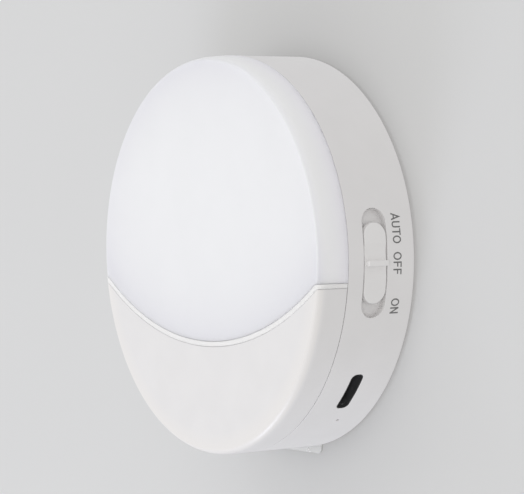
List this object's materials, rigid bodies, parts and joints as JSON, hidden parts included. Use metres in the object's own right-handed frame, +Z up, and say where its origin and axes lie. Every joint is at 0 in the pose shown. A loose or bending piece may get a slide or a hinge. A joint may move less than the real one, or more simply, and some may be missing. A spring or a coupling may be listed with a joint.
{
  "type": "night light",
  "caption": "Round battery night light for a wall, with an opal diffuser above an arched cut, a plain crescent cover below it, a side slide switch and a charging port.",
  "frame": {"origin": "on the drum's axis, at the face of the adhesive pad that lies on the wall", "axes": "+Y into the wall, the light faces -Y, +Z up, +X to the right as the light is looked at, where the switch and the port are"},
  "size_m": [0.081, 0.0234, 0.0811],
  "materials": {
    "opal_plastic": "satin opal, lets light through",
    "strip_plastic": "satin translucent white",
    "shell_plastic": "fine matt texture",
    "inner_white_plastic": "plain moulded",
    "black_plastic": "plain moulded",
    "switch_case": "folded sheet",
    "board_white": "solder resist, smooth",
    "lamp_resin": "smooth resin",
    "reflector_white": "even matt film",
    "clear_resin": "clear moulded",
    "socket_black": "dark coated",
    "gold_contact": "gold flash",
    "chip_black": "moulded resin",
    "component_tan": "ceramic",
    "component_grey": "ferrite",
    "pouch_foil": "satin foil",
    "foam_grey": "closed-cell foam",
    "connector_ivory": "plain moulded",
    "lead_jacket": "smooth jacket",
    "nickel_plate": "nickel plated",
    "screw_steel": "zinc plated",
    "plate_steel": "zinc plated sheet",
    "pad_foam": "acrylic foam tape",
    "tab_film": "clear frosted film"
  },
  "bodies": {
    "wall_mount": {"wall_plate": "plate_steel", "adhesive_pad": "pad_foam", "pull_tab": "tab_film"},
    "light": {"diffuser": "opal_plastic", "light_strip": "strip_plastic", "front_cover": "shell_plastic", "carrier_frame": "inner_white_plastic", "housing": "shell_plastic", "slide_switch": "switch_case", "circuit_board": "board_white", "leds": "lamp_resin", "reflector_sheet": "reflector_white", "light_sensor": "clear_resin", "usb_shell": "socket_black", "usb_tongue": "black_plastic", "usb_contacts": "gold_contact", "charge_led": "lamp_resin", "light_pipe": "clear_resin", "controller_chip": "chip_black", "charger_chip": "chip_black", "board_parts": "component_tan", "inductor": "component_grey", "battery": "pouch_foil", "battery_tape": "foam_grey", "battery_socket": "connector_ivory", "battery_plug": "connector_ivory", "battery_leads": "lead_jacket", "magnets": "nickel_plate", "case_screws": "screw_steel", "board_screws": "screw_steel"},
    "switch": {"switch_knob": "shell_plastic", "switch_lever": "black_plastic"}
  },
  "joints": [
    {"name": "light_pull", "type": "slide", "parent": "wall_mount", "child": "light", "axis": [0, -1, 0], "range_m": [0, 0.03]},
    {"name": "switch_slide", "type": "slide", "parent": "light", "child": "switch", "axis": [0, 0, 1], "range_m": [-0.0025, 0.0025]}
  ]
}
